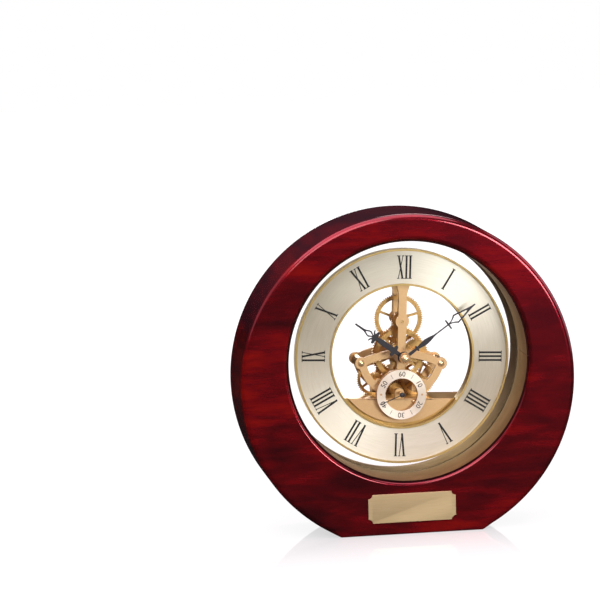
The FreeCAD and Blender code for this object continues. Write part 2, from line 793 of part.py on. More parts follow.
def cone_spring():
    """Conical spring as one tube along smooth arcs."""
    arcs = []
    for index in range(spring_turns * spring_parts_per_turn):
        start = index / spring_parts_per_turn
        end = (index + 1) / spring_parts_per_turn
        arcs += arc_pair(spring_point(start), spring_direction(start),
                         spring_point(end), spring_direction(end))
    first = arcs[0].FirstParameter
    ring = Part.Circle(arcs[0].valueAt(first), arcs[0].tangentAt(first), spring_wire_radius)
    gap = (spring_point(1) - spring_point(0)).Length - 2 * spring_wire_radius
    print("spring: least gap between turns %.2f" % gap)
    return Part.Wire(arcs).makePipeShell([Part.Wire([ring.toShape()])], True, False)


def make_box_cover():
    """Flat brass front of the battery box, level with the front plate."""
    cover = box_outline(cover_plate_radius, front_plate_front, front_plate_back, -box_top_drop)
    screws = []
    for x in (-cover_screw_x, cover_screw_x):
        place = (x, -box_top_drop - cover_screw_drop)
        cover = cover.cut(screw_hole(place, front_plate_front, front_plate_back))
        screws.append(domed_screw(place, front_plate_front, cover_screw_radius))
    keep_insert("battery_box_front", cover)
    keep_insert("battery_box_screws", Part.makeCompound(screws))


def make_battery_lid(rail_low):
    lid = box_outline(box_radius - battery_lid_gap, box_back, lid_back, -box_top_drop)
    side = lid_rail_x
    for x0, x1 in ((-box_radius, -side), (side, box_radius)):
        lid = lid.cut(box(x0, x1, box_back, lid_back, -box_radius, -box_top_drop))
    for index in range(battery_lid_grip_count):
        z = -cell_drop - index * battery_lid_grip_pitch
        half = battery_lid_grip_width / 2
        ridge = box(-half, half, lid_back, lid_back + battery_lid_grip_height,
                    z, z + battery_lid_grip_pitch / 2)
        lid = lid.fuse(ridge)
    keep_insert("battery_cover", lid)


# Gears
def between(a, b):
    return math.hypot(b[0] - a[0], b[1] - a[1])


def mesh_module(a, b, teeth_a, teeth_b):
    """Tooth size that makes two gears meet at their centre distance."""
    return 2 * between(a, b) / (teeth_a + teeth_b)


def centre_module():
    return mesh_module(centre, top, centre_teeth, top_pinion_teeth)


def top_module():
    return mesh_module(centre, top, idler_pinion_teeth, top_wheel_teeth)


def idler_module():
    return mesh_module(centre, left, idler_wheel_teeth, side_pinion_teeth)


def side_module():
    return mesh_module(left, seconds, side_wheel_teeth, seconds_pinion_teeth)


def cannon_module():
    return mesh_module(centre, motion, cannon_teeth, minute_wheel_teeth)


def hour_module():
    return mesh_module(centre, motion, hour_wheel_teeth, minute_pinion_teeth)


def gear_outer(teeth, module):
    return module * (teeth / 2 + addendum_share)


def gear_root(teeth, module):
    return module * (teeth / 2 - dedendum_share)


def gear_blank(place, teeth, module, level, thickness, phase):
    """Toothed disc, one tooth standing at the phase angle, counted from +x towards +z."""
    outer = gear_outer(teeth, module)
    root = gear_root(teeth, module)
    pitch_angle = 360 / teeth
    points = []
    for index in range(teeth):
        middle = phase + index * pitch_angle
        for radius, share in ((root, -root_width_share), (outer, -tip_width_share),
                              (outer, tip_width_share), (root, root_width_share)):
            points.append(on_circle(radius, middle + share * pitch_angle / 2, place))
    return slab(points, level, level + thickness)


def spoked(blank, place, teeth, module, level, hub_radius, spokes, turn):
    """Cut the windows between rim, hub and spokes."""
    root = gear_root(teeth, module)
    rim = root - wheel_rim_share * root
    windows = tube(rim, hub_radius, level, level + wheel_thickness, place)
    half = spoke_width / 2
    for index in range(spokes):
        spoke = box(place[0], place[0] + root, level, level + wheel_thickness,
                    place[1] - half, place[1] + half)
        windows = windows.cut(turned(spoke, turn + 360 * index / spokes, place))
    return blank.cut(windows)


def meshed_phase(phase, teeth, place, other_teeth, other_place):
    """Phase of the second gear so that its gap faces a tooth of the first."""
    direction = math.degrees(math.atan2(other_place[1] - place[1], other_place[0] - place[0]))
    first = teeth * (direction - phase) / 360
    return direction + 180 - 360 / other_teeth * (0.5 - first)


def bored(shape, radius, place, front, back):
    return shape.cut(disc(radius, front, back, place))


def wheel(name, place, teeth, module, level, phase, bore, spokes=spoke_count, turn=0):
    """Thin spoked wheel with a collet behind it, bored for its arbor."""
    blank = gear_blank(place, teeth, module, level, wheel_thickness, phase)
    body = spoked(blank, place, teeth, module, level, collet_radius + spoke_width, spokes, turn)
    back = level + wheel_thickness + collet_length
    body = body.fuse(disc(collet_radius, level + wheel_thickness, back, place))
    keep_insert(name, bored(body, bore, place, level, back))


def pinion(name, place, teeth, module, level, phase, bore):
    """Thick small gear, wider than the wheel that it meets."""
    front = level - pinion_extra / 2
    blank = gear_blank(place, teeth, module, front, wheel_thickness + pinion_extra, phase)
    keep_insert(name, bored(blank, bore, place, front, front + wheel_thickness + pinion_extra))


def make_train():
    seat = arbor_radius + seat_gap
    centre_seat = centre_arbor_radius + seat_gap
    seconds_phase = 0
    left_phase = meshed_phase(seconds_phase, seconds_pinion_teeth, seconds, side_wheel_teeth, left)
    right_phase = meshed_phase(seconds_phase, seconds_pinion_teeth, seconds, side_wheel_teeth, right)
    idler_phase = 0
    left_pinion_phase = meshed_phase(idler_phase, idler_wheel_teeth, centre, side_pinion_teeth, left)
    top_phase = meshed_phase(idler_phase, idler_pinion_teeth, centre, top_wheel_teeth, top)
    top_pinion_phase = meshed_phase(0, centre_teeth, centre, top_pinion_teeth, top)
    pinion("seconds_pinion", seconds, seconds_pinion_teeth, side_module(), side_level, seconds_phase, seat)
    wheel("left_wheel", left, side_wheel_teeth, side_module(), side_level, left_phase, seat)
    wheel("right_wheel", right, side_wheel_teeth, side_module(), side_level, right_phase, seat)
    pinion("left_pinion", left, side_pinion_teeth, idler_module(), idler_level, left_pinion_phase, seat)
    wheel("top_wheel", top, top_wheel_teeth, top_module(), top_level, top_phase, seat, turn=top_spoke_turn)
    pinion("top_pinion", top, top_pinion_teeth, centre_module(), centre_level, top_pinion_phase, seat)
    wheel("centre_wheel", centre, centre_teeth, centre_module(), centre_level, 0, centre_seat,
          turn=centre_spoke_turn)
    make_idler(idler_phase)
    make_motion_work()


def make_idler(phase):
    """Large wheel and pinion that run loose on the centre arbor, on one sleeve."""
    sleeve_front = idler_level - pinion_extra
    sleeve_back = top_level + wheel_thickness + pinion_extra
    sleeve_outer = pipe_outer
    blank = gear_blank(centre, idler_wheel_teeth, idler_module(), idler_level, wheel_thickness, phase)
    body = spoked(blank, centre, idler_wheel_teeth, idler_module(), idler_level,
                  collet_radius + spoke_width, spoke_count, idler_spoke_turn)
    keep_insert("idler_wheel", bored(body, sleeve_outer + seat_gap, centre, idler_level,
                                     idler_level + wheel_thickness))
    front = top_level - pinion_extra / 2
    small = gear_blank(centre, idler_pinion_teeth, top_module(), front,
                       wheel_thickness + pinion_extra, phase)
    small = small.fuse(disc(sleeve_outer, sleeve_front, sleeve_back))
    keep_insert("idler_pinion", bored(small, pipe_inner, centre, sleeve_front, sleeve_back))


def make_motion_work():
    """Twelve to one reduction from the minute arbor to the hour pipe."""
    minute_phase = meshed_phase(0, cannon_teeth, centre, minute_wheel_teeth, motion)
    hour_phase = meshed_phase(minute_phase, minute_pinion_teeth, motion, hour_wheel_teeth, centre)
    pinion("cannon_pinion", centre, cannon_teeth, cannon_module(), cannon_level, 0,
           centre_arbor_radius + seat_gap)
    blank = gear_blank(motion, minute_wheel_teeth, cannon_module(), cannon_level,
                       wheel_thickness, minute_phase)
    small_front = hour_level - pinion_extra / 2
    small = gear_blank(motion, minute_pinion_teeth, hour_module(), small_front,
                       cannon_level - small_front, minute_phase)
    both = blank.fuse(small)
    back = cannon_level + wheel_thickness
    keep_insert("minute_wheel", bored(both, arbor_radius + running_gap, motion, small_front, back))
    head = disc(arbor_radius * 2, back + running_gap, back + running_gap + pinion_extra, motion)
    stud = disc(arbor_radius, front_plate_back, back + running_gap, motion).fuse(head)
    keep_insert("minute_wheel_stud", stud)
    hour_blank = gear_blank(centre, hour_wheel_teeth, hour_module(), hour_level,
                            wheel_thickness, hour_phase)
    keep_insert("hour_wheel", bored(hour_blank, pipe_outer + seat_gap, centre, hour_level,
                                    hour_level + wheel_thickness))
    pipe = tube(pipe_outer, pipe_inner, hour_hand_front, hour_level + wheel_thickness)
    keep_insert("hour_pipe", pipe)


def make_arbors():
    arbor_front = front_plate_front
    arbor_back = back_plate_back
    centre_bar = disc(centre_arbor_radius, minute_hand_front - nut_length, knob_front + knob_thickness)
    keep_insert("minute_arbor", centre_bar)
    keep_insert("top_arbor", disc(arbor_radius, arbor_front - bush_stand, arbor_back, top))
    keep_insert("left_arbor", disc(arbor_radius, arbor_front, arbor_back, left))
    keep_insert("right_arbor", disc(arbor_radius, arbor_front, arbor_back, right))
    keep_insert("seconds_arbor", disc(arbor_radius, second_hand_front, arbor_back, seconds))


def make_knob():
    body = disc(knob_radius, knob_front, knob_front + knob_thickness)
    for index in range(knob_flutes):
        place = on_circle(knob_radius, 360 * index / knob_flutes)
        body = body.cut(disc(knob_flute_radius, knob_front, knob_front + knob_thickness, place))
    keep_insert("setting_knob", bored(body, centre_arbor_radius + seat_gap, centre,
                                      knob_front, knob_front + knob_thickness))


# Hands
def mirrored_outline(shares, length, front, back):
    right_side = [(half * length, along * length) for along, half in shares]
    left_side = [(-x, z) for x, z in reversed(right_side)]
    return slab(right_side + left_side, front, back)


def hand(blade_shares, arrow_shares, hole_shares, length, boss, front, bore):
    back = front + hand_thickness
    blade = mirrored_outline(blade_shares, length, front, back)
    arrow = mirrored_outline(arrow_shares, length, front, back)
    hole = mirrored_outline(hole_shares, length, front, back)
    body = joined([blade, arrow, disc(boss, front, back)]).cut(hole)
    return bored(body, bore, centre, front, back)


def make_hands():
    minute = hand(minute_blade_shares, minute_arrow_shares, minute_hole_shares, minute_hand_length,
                  minute_boss_radius, minute_hand_front, centre_arbor_radius + seat_gap)
    hour = hand(hour_blade_shares, hour_arrow_shares, hour_hole_shares, hour_hand_length,
                hour_boss_radius, hour_hand_front, pipe_outer + seat_gap)
    back = hour_hand_front + hand_thickness
    for side in (-1, 1):
        barb = slab([(side * half * hour_hand_length, along * hour_hand_length)
                     for along, half in hour_barb_shares], hour_hand_front, back)
        hour = hour.fuse(barb)
    keep_insert("minute_hand", turned(minute, minute_angle))
    keep_insert("hour_hand", turned(hour.removeSplitter(), hour_angle))
    nut_centre = minute_hand_front - nut_length
    ball = Part.makeSphere(nut_radius, FreeCAD.Vector(0, nut_centre, 0))
    collar = disc(nut_collar_radius, nut_centre, minute_hand_front)
    ball = ball.cut(box(-nut_radius, nut_radius, minute_hand_front, overrun, -nut_radius, nut_radius))
    keep_insert("hub_nut", bored(ball.fuse(collar), centre_arbor_radius + seat_gap, centre,
                                 nut_centre, minute_hand_front))
    make_second_hand()


def make_second_hand():
    half = second_hand_width / 2
    back = second_hand_front + second_hand_thickness
    blade = slab(((-half, 0), (half, 0), (half / 2, second_hand_length), (-half / 2, second_hand_length)),
                 second_hand_front, back)
    body = blade.fuse(disc(second_boss_radius, second_hand_front, back))
    body = bored(body, arbor_radius + seat_gap, centre, second_hand_front, back)
    keep_insert("second_hand", moved(turned(body, second_angle), 0, 0, -seconds_drop))


# Motor
def make_motor():
    low = -box_top_drop
    cover = box(-motor_half_width, motor_half_width, motor_cover_front,
                motor_cover_front + motor_cover_thickness, low, low + motor_height)
    cover = cover.cut(disc(arbor_radius + running_gap, motor_cover_front, back_plate_front, seconds))
    for x in (-motor_half_width, motor_half_width - pinion_extra):
        leg = box(x, x + pinion_extra, motor_cover_front, back_plate_front, low, low + motor_height)
        cover = cover.fuse(leg)
    keep_insert("motor_cover", cover)
    inside = motor_half_width - pinion_extra - fit_gap
    stator_back = stator_front + stator_thickness
    stator = box(-inside, inside, stator_front, stator_back, low, low + stator_bar_height)
    stator = bored(stator, rotor_radius + rotor_gap, seconds, stator_front, stator_back)
    keep_insert("motor_stator", stator)
    rotor = tube(rotor_radius, arbor_radius + seat_gap, rotor_front, rotor_front + rotor_thickness, seconds)
    keep_insert("motor_rotor", rotor)
    coil_depth = back_plate_front - fit_gap - coil_radius
    make_coil(coil_depth)


def along_x(radius, x0, x1, depth, z):
    return Part.makeCylinder(radius, x1 - x0, FreeCAD.Vector(x0, depth, z), FreeCAD.Vector(1, 0, 0))


def make_coil(depth):
    reach = coil_half_length + coil_flange
    height = coil_rise - box_top_drop
    core = along_x(coil_core_radius, -reach, reach, depth, height)
    for x in (-reach, coil_half_length):
        core = core.fuse(along_x(coil_radius, x, x + coil_flange, depth, height))
    keep_insert("coil_bobbin", core)
    winding = along_x(coil_radius - fit_gap, -coil_half_length, coil_half_length, depth, height)
    winding = winding.cut(along_x(coil_core_radius + seat_gap, -coil_half_length, coil_half_length,
                                  depth, height))
    keep_insert("coil_winding", winding)


def make_bridge():
    """Bearing for the front of the seconds arbor, standing on the battery box."""
    half = bridge_width / 2
    low = -box_top_drop
    back = bridge_front + bridge_thickness
    post = box(-half, half, bridge_front, back, low, -seconds_drop)
    post = post.fuse(disc(half, bridge_front, back, seconds))
    post = post.cut(box(-half, half, bridge_front, back, low - overrun, low))
    keep_insert("seconds_bridge", bored(post, arbor_radius + running_gap, seconds, bridge_front, back))


def report_places():
    """Joint centres in the object's frame."""
    for name, place in (("centre", centre), ("top", top), ("left", left), ("right", right),
                        ("seconds", seconds), ("motion", motion)):
        turn = math.radians(insert_turn)
        x = place[0] * math.cos(turn) + place[1] * math.sin(turn)
        z = dial_height - place[0] * math.sin(turn) + place[1] * math.cos(turn)
        print("%-8s x %.6f z %.6f" % (name, x, z))


make_case()
make_plaque()
make_window()
make_insert()
make_numerals()
make_plates()
make_seconds_ring()
make_battery_box()
make_train()
make_arbors()
make_knob()
make_hands()
make_motor()
make_bridge()
report_places()

os.makedirs("parts", exist_ok=True)
for name, shape in parts.items():
    shape.exportStep("parts/" + name + ".step")
    print("%-20s solids %d valid %s volume %.2f" % (name, len(shape.Solids), shape.isValid(), shape.Volume))
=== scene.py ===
import bpy
import bmesh
import json
import math
import numpy as np
from mathutils import Matrix, Vector

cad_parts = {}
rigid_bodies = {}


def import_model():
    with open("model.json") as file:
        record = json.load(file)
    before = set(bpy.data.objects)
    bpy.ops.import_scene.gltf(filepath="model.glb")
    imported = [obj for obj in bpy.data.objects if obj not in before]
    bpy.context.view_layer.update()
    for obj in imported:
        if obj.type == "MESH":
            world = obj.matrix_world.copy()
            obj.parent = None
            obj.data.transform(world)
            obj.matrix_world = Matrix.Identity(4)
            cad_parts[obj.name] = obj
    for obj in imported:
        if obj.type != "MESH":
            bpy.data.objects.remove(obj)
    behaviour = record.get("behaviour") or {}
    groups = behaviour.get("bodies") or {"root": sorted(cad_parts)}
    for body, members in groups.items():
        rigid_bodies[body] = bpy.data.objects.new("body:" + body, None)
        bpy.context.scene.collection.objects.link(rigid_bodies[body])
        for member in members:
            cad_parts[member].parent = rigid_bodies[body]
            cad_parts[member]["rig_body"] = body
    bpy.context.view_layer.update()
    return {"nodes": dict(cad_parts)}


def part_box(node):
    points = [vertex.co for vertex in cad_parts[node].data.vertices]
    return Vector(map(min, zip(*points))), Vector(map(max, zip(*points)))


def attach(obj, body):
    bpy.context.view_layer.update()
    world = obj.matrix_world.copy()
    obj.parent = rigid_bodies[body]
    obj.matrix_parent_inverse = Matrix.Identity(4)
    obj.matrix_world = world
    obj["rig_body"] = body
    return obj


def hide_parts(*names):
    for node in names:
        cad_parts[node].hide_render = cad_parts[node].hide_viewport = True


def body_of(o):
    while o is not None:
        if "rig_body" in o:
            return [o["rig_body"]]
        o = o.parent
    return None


# Mantel clock with a skeleton movement in a round block of lacquered rosewood.
# Metres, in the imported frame: origin at the centre of the base, front towards -Y, up +Z.

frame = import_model()
nodes = frame["nodes"]
mm = 0.001


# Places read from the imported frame
def middle(node):
    low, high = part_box(node)
    return (low + high) / 2


dialCentre = middle("dial_ring")
secondsCentre = middle("seconds_ring")
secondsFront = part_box("seconds_ring")[0].y
# The insert sits a little turned in its bore: the angle of the line from the small dial to the large
insertTurn = math.atan2(dialCentre.x - secondsCentre.x, dialCentre.z - secondsCentre.z)


# sRGB hex to linear light, channel by channel
def colour(text):
    values = [int(text[i:i + 2], 16) / 255 for i in (1, 3, 5)]
    linear = [v / 12.92 if v <= 0.04045 else ((v + 0.055) / 1.055) ** 2.4 for v in values]
    return (*linear, 1.0)


# A socket, or the first output of a node, is linked; anything else is set on the input itself
def setInputs(tree, node, values):
    for name, value in values.items():
        if isinstance(value, bpy.types.Node):
            value = value.outputs[0]
        if isinstance(value, bpy.types.NodeSocket):
            tree.links.new(value, node.inputs[name])
        else:
            node.inputs[name].default_value = value


# One node with its settings, its inputs and, for a colour ramp, its stops
def addNode(tree, kind, inputs=None, stops=(), **settings):
    node = tree.nodes.new(kind)
    for name, value in settings.items():
        setattr(node, name, value)
    setInputs(tree, node, inputs or {})
    if stops:
        elements = node.color_ramp.elements
        while len(elements) < len(stops):
            elements.new(0.5)
        for element, (place, tint) in zip(elements, stops):
            element.position = place
            element.color = colour(tint)
    return node


def newMaterial(name):
    material = bpy.data.materials.new(name)
    material.use_nodes = True
    tree = material.node_tree
    tree.nodes.clear()
    shader = addNode(tree, "ShaderNodeBsdfPrincipled")
    addNode(tree, "ShaderNodeOutputMaterial", {"Surface": shader}, name="surface")
    return material, tree, shader


# Object coordinates, centred and divided by a real size in metres for each axis
def patternSpace(tree, size, centre=(0, 0, 0), turn=(0, 0, 0)):
    place = addNode(tree, "ShaderNodeTexCoord").outputs["Object"]
    moved = addNode(tree, "ShaderNodeVectorMath", {0: place, 1: tuple(centre)}, operation="SUBTRACT")
    scale = tuple(1 / s for s in size)
    return addNode(tree, "ShaderNodeMapping", {"Vector": moved, "Rotation": turn, "Scale": scale})


# Natural figure whose spots have a real size in metres along each axis
def figureIn(tree, size, detail=3.0, roughness=0.55, distortion=0.0, centre=(0, 0, 0)):
    return addNode(tree, "ShaderNodeTexNoise", {
        "Vector": patternSpace(tree, size, centre), "Scale": 1.0, "Detail": detail,
        "Roughness": roughness, "Distortion": distortion})


# Colour times a grey that follows a figure from one level of it to another
def shaded(tree, tint, figure, levels, greys):
    grey = addNode(tree, "ShaderNodeMapRange", {
        "Value": figure, "From Min": levels[0], "From Max": levels[1],
        "To Min": greys[0], "To Max": greys[1]})
    greyColour = addNode(tree, "ShaderNodeCombineColor", {0: grey, 1: grey, 2: grey})
    return addNode(tree, "ShaderNodeMix", {"Factor": 1.0, 6: tint, 7: greyColour},
                   data_type="RGBA", blend_type="MULTIPLY").outputs[2]


# Colour, roughness and relief that follow one figure together, from one level of it to another
def grained(tree, figure, levels, tints, roughness, spread, relief):
    look = {
        "Base Color": addNode(tree, "ShaderNodeValToRGB", {"Fac": figure}, tuple(zip(levels, tints))),
        "Roughness": addNode(tree, "ShaderNodeMapRange", {
            "Value": figure, "From Min": levels[0], "From Max": levels[1],
            "To Min": roughness - spread, "To Max": roughness + spread}),
    }
    if relief:
        look["Normal"] = addNode(tree, "ShaderNodeBump", {"Height": figure, "Distance": relief * mm})
    return look


print("frame loaded:", len(nodes), "nodes")

# Camera, fitted to the photograph: lengths in metres, focal length and sensor in millimetres
camera = {
    "focal": 194.9, "sensor": 36.0, "clipEnd": 50, "distance": 1.8,
    "yaw": math.radians(8.47), "pitch": math.radians(8.10), "roll": math.radians(-1.54),
    "target": (-60.52 * mm, -23.7 * mm, 135.84 * mm),
}


# Place = target + distance * direction of yaw and pitch; side and up turn about it by the roll
def addCamera(values):
    yaw, pitch, roll = values["yaw"], values["pitch"], values["roll"]
    back = Vector((-math.sin(yaw) * math.cos(pitch), -math.cos(yaw) * math.cos(pitch), math.sin(pitch)))
    side = Vector((math.cos(yaw), -math.sin(yaw), 0))
    up = back.cross(side)
    turnedSide = side * math.cos(roll) + up * math.sin(roll)
    turnedUp = up * math.cos(roll) - side * math.sin(roll)
    lens = bpy.data.cameras.new("camera")
    lens.lens = values["focal"]
    lens.sensor_width = values["sensor"]
    lens.clip_end = values["clipEnd"]
    holder = bpy.data.objects.new("camera", lens)
    bpy.context.scene.collection.objects.link(holder)
    place = Vector(values["target"]) + back * values["distance"]
    axes = Matrix((turnedSide, turnedUp, back)).transposed()
    holder.matrix_world = Matrix.Translation(place) @ axes.to_4x4()
    bpy.context.scene.camera = holder


addCamera(camera)
bpy.context.scene.view_settings.view_transform = "Standard"

# Studio: white ground and sky for the camera, soft lamps and a dark room for the clock's gloss
studio = {
    "skyLight": 0.28, "glossTint": "#D9A8CC", "glossLow": 0.012, "glossHigh": 0.10,
    "glossHeights": (-0.05, 0.5),
    "floorSize": 6.0, "floorFront": 0.9, "baseHalf": (40 * mm, 24 * mm),
    "mirror": 0.27, "mirrorReach": 110 * mm, "mirrorFall": 1.6,
    "glowInPaintedShade": 0.88, "glowFar": 1.05, "glowReach": 0.8,
    "lamps": {
        "keyLamp": {"place": (0.63, -1.35, 0.32), "size": 0.55, "radiance": 14.0},
        "frontLamp": {"place": (-0.25, -1.35, 0.95), "size": 0.9, "radiance": 4.5},
        "leftLamp": {"place": (-1.15, -0.25, 1.0), "size": 1.5, "radiance": 0.8, "tint": "#FFD9EA"},
        "rightLamp": {"place": (1.6, 0.1, 0.75), "size": 1.7, "radiance": 1.4, "tint": "#FFD9EA"},
        "topLamp": {"place": (-0.15, -0.3, 1.6), "size": 2.2, "radiance": 2.9, "tint": "#FFD9EA"},
        "backLamp": {"place": (0.4, 1.35, 1.25), "size": 0.7, "radiance": 2.5},
        "boreLamp": {"place": (0.0, 0.26, 0.14), "size": 0.07, "radiance": 7.5},
    },
}


# 1 for what the camera sees, straight on, through the pane or in a perfect mirror
def seenDirectly(tree, rays):
    seen = addNode(tree, "ShaderNodeMath", {0: rays["Is Camera Ray"], 1: rays["Is Transmission Ray"]},
                   operation="MAXIMUM")
    return addNode(tree, "ShaderNodeMath", {0: seen, 1: rays["Is Singular Ray"]}, operation="MAXIMUM")


# Sky: white where it is seen directly, a dim tinted room for rough gloss, an even light for the rest
def addSky(values):
    world = bpy.data.worlds.new("sky")
    bpy.context.scene.world = world
    world.use_nodes = True
    tree = world.node_tree
    tree.nodes.clear()
    rays = addNode(tree, "ShaderNodeLightPath").outputs
    direction = addNode(tree, "ShaderNodeTexCoord").outputs["Generated"]
    height = addNode(tree, "ShaderNodeSeparateXYZ", {0: direction}).outputs["Z"]
    room = addNode(tree, "ShaderNodeMapRange", {
        "Value": height, "From Min": values["glossHeights"][0], "From Max": values["glossHeights"][1],
        "To Min": values["glossLow"], "To Max": values["glossHigh"]})
    seen = seenDirectly(tree, rays)
    level = addNode(tree, "ShaderNodeMix", {0: rays["Is Glossy Ray"], 2: values["skyLight"], 3: room})
    level = addNode(tree, "ShaderNodeMix", {0: seen, 2: level, 3: 1.0})
    notGloss = addNode(tree, "ShaderNodeMath", {0: 1.0, 1: rays["Is Glossy Ray"]}, operation="SUBTRACT")
    plain = addNode(tree, "ShaderNodeMath", {0: seen, 1: notGloss}, operation="MAXIMUM")
    tint = addNode(tree, "ShaderNodeMix", {
        "Factor": plain, 6: colour(values["glossTint"]), 7: colour("#FFFFFF")}, data_type="RGBA")
    light = addNode(tree, "ShaderNodeBackground", {"Color": tint.outputs[2], "Strength": level})
    addNode(tree, "ShaderNodeOutputWorld", {"Surface": light})


# Ground: matt with the clock's shadow and a white glow that grows with the distance from the base, dimmer
# near the base as painted shade round it, and a mirror image of strength mirror * (1 - distance / reach)
# ^ fall
def addFloor(values):
    half, front = values["floorSize"] / 2, values["floorFront"]
    mesh = bpy.data.meshes.new("floor")
    corners = [(-half, -front, 0), (half, -front, 0), (half, half, 0), (-half, half, 0)]
    mesh.from_pydata(corners, [], [(0, 1, 2, 3)])
    floor = bpy.data.objects.new("floor", mesh)
    bpy.context.scene.collection.objects.link(floor)
    material = bpy.data.materials.new("whiteGround")
    material.use_nodes = True
    tree = material.node_tree
    tree.nodes.clear()
    place = addNode(tree, "ShaderNodeTexCoord").outputs["Object"]
    axes = addNode(tree, "ShaderNodeSeparateXYZ", {0: place}).outputs
    beside = []
    for axis, reach in zip(("X", "Y"), values["baseHalf"]):
        away = addNode(tree, "ShaderNodeMath", {0: axes[axis]}, operation="ABSOLUTE")
        beside.append(addNode(tree, "ShaderNodeMath", {0: away, 1: reach}, operation="SUBTRACT"))
    distance = addNode(tree, "ShaderNodeMath", {0: beside[0], 1: beside[1]}, operation="MAXIMUM")
    near = addNode(tree, "ShaderNodeMapRange", {
        "Value": distance, "From Min": 0.0, "From Max": values["mirrorReach"],
        "To Min": 1.0, "To Max": 0.0})
    fade = addNode(tree, "ShaderNodeMath", {0: near, 1: values["mirrorFall"]}, operation="POWER")
    mirror = addNode(tree, "ShaderNodeMath", {0: fade, 1: values["mirror"]}, operation="MULTIPLY")
    # The glow is weaker near the base than far off: painted shade round the base
    strength = addNode(tree, "ShaderNodeMapRange", {
        "Value": distance, "From Min": values["mirrorReach"], "From Max": values["glowReach"],
        "To Min": values["glowInPaintedShade"], "To Max": values["glowFar"]})
    matt = addNode(tree, "ShaderNodeBsdfDiffuse", {"Color": colour("#6A6A6A")})
    glow = addNode(tree, "ShaderNodeEmission", {"Color": colour("#FFFFFF"), "Strength": strength})
    both = addNode(tree, "ShaderNodeAddShader", {0: matt, 1: glow})
    gloss = addNode(tree, "ShaderNodeBsdfGlossy", {"Color": colour("#FFFFFF"), "Roughness": 0.0})
    ground = addNode(tree, "ShaderNodeMixShader", {0: mirror, 1: both, 2: gloss})
    # Other rays meet a plain grey ground, and gloss a dark one
    rays = addNode(tree, "ShaderNodeLightPath").outputs
    plain = addNode(tree, "ShaderNodeBsdfDiffuse", {"Color": colour("#B0B0B0")})
    dark = addNode(tree, "ShaderNodeBsdfDiffuse", {"Color": colour("#141414")})
    bounce = addNode(tree, "ShaderNodeMixShader", {0: rays["Is Glossy Ray"], 1: plain, 2: dark})
    mixed = addNode(tree, "ShaderNodeMixShader", {0: seenDirectly(tree, rays), 1: bounce, 2: ground})
    addNode(tree, "ShaderNodeOutputMaterial", {"Surface": mixed})
    mesh.materials.append(material)


# Round soft lamp that looks at the clock: energy = radiance * pi * area
def addLamp(name, values, aim):
    light = bpy.data.lights.new(name, "AREA")
    light.shape = "DISK"
    light.size = values["size"]
    area = math.pi * values["size"] ** 2 / 4
    light.energy = values["radiance"] * math.pi * area
    light.color = colour(values.get("tint", "#FFFFFF"))[:3]
    lamp = bpy.data.objects.new(name, light)
    bpy.context.scene.collection.objects.link(lamp)
    place = Vector(values["place"])
    turn = (place - aim).to_track_quat("Z", "Y").to_matrix()
    lamp.matrix_world = Matrix.Translation(place) @ turn.to_4x4()
    lamp.visible_camera = False
    lamp.visible_transmission = False


addSky(studio)
addFloor(studio)
for lampName, lampValues in studio["lamps"].items():
    addLamp(lampName, lampValues, dialCentre)
print("camera, sky, ground and lamps set")

# Rosewood, stained red, under polished lacquer: soft dark clouds, redder streaks and short fine marks,
# all level. The sizes are wide, deep and high; the shift in depths keeps the figure seen on the front.
# The red gloss below the clear coat gives the roundings their wide rosy light under a sharp line.
rosewood = {
    "cloud": (60 * mm, 110 * mm, 26 * mm), "cloudShift": 0.6075,
    "streak": (34 * mm, 45 * mm, 6 * mm), "streakShift": 2.7, "streakShare": 0.42,
    "mark": (7 * mm, 0.7 * mm, 0.6 * mm), "markLevels": (0.34, 0.66), "markGreys": (0.86, 1.12),
    "tints": ((0.38, "#260A0C"), (0.48, "#3E0A0C"), (0.56, "#560A0D"), (0.68, "#70100A")),
    "roughness": 0.20, "ior": 1.7, "glossTint": "#FF3350",
    "lacquer": 0.8, "lacquerRoughness": 0.06, "lacquerIor": 1.45,
}


def makeRosewood(values):
    material, tree, shader = newMaterial("redRosewoodLacquer")
    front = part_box("case_body")[0].y
    cloudCentre = (0, front + values["cloudShift"] * values["cloud"][1], 0)
    streakCentre = (0, front + values["streakShift"] * values["streak"][1], 0)
    cloud = figureIn(tree, values["cloud"], 2.0, 0.5, 0.5, cloudCentre)
    streak = figureIn(tree, values["streak"], 3.0, 0.6, 0.4, streakCentre)
    mark = figureIn(tree, values["mark"], 3.0, 0.65)
    tone = addNode(tree, "ShaderNodeMix", {0: values["streakShare"], 2: cloud, 3: streak})
    tint = addNode(tree, "ShaderNodeValToRGB", {"Fac": tone}, values["tints"])
    setInputs(tree, shader, {
        "Base Color": shaded(tree, tint, mark, values["markLevels"], values["markGreys"]),
        "Roughness": values["roughness"], "IOR": values["ior"], "Specular IOR Level": 1.0,
        "Specular Tint": colour(values["glossTint"]), "Coat Weight": values["lacquer"],
        "Coat Roughness": values["lacquerRoughness"], "Coat IOR": values["lacquerIor"]})
    return material


# Wool felt, pressed: black and matt, with a short nap that a slanting light just shows
def makeFelt(nap):
    material, tree, shader = newMaterial("blackWoolFelt")
    tuft = figureIn(tree, (nap,) * 3, 3.0, 0.7)
    tint = addNode(tree, "ShaderNodeValToRGB", {"Fac": tuft}, ((0.3, "#0D0D0E"), (0.7, "#232325")))
    relief = addNode(tree, "ShaderNodeBump", {"Height": tuft, "Distance": 0.15 * mm})
    setInputs(tree, shader, {"Base Color": tint, "Roughness": 0.95, "Sheen Weight": 0.3,
                             "Normal": relief})
    return material


# Plated metal, rolled, brushed or turned: the grain's lengths along each axis in millimetres, coarser
# than the real grain so that it shows
def makeMetal(name, dark, light, roughness, grain, metallic=1.0, relief=0.002, spread=0.06):
    material, tree, shader = newMaterial(name)
    lines = figureIn(tree, [g * mm for g in grain], 3.0, 0.6)
    look = grained(tree, lines, (0.15, 0.85), (dark, light), roughness, spread, relief)
    setInputs(tree, shader, {**look, "Metallic": metallic})
    return material


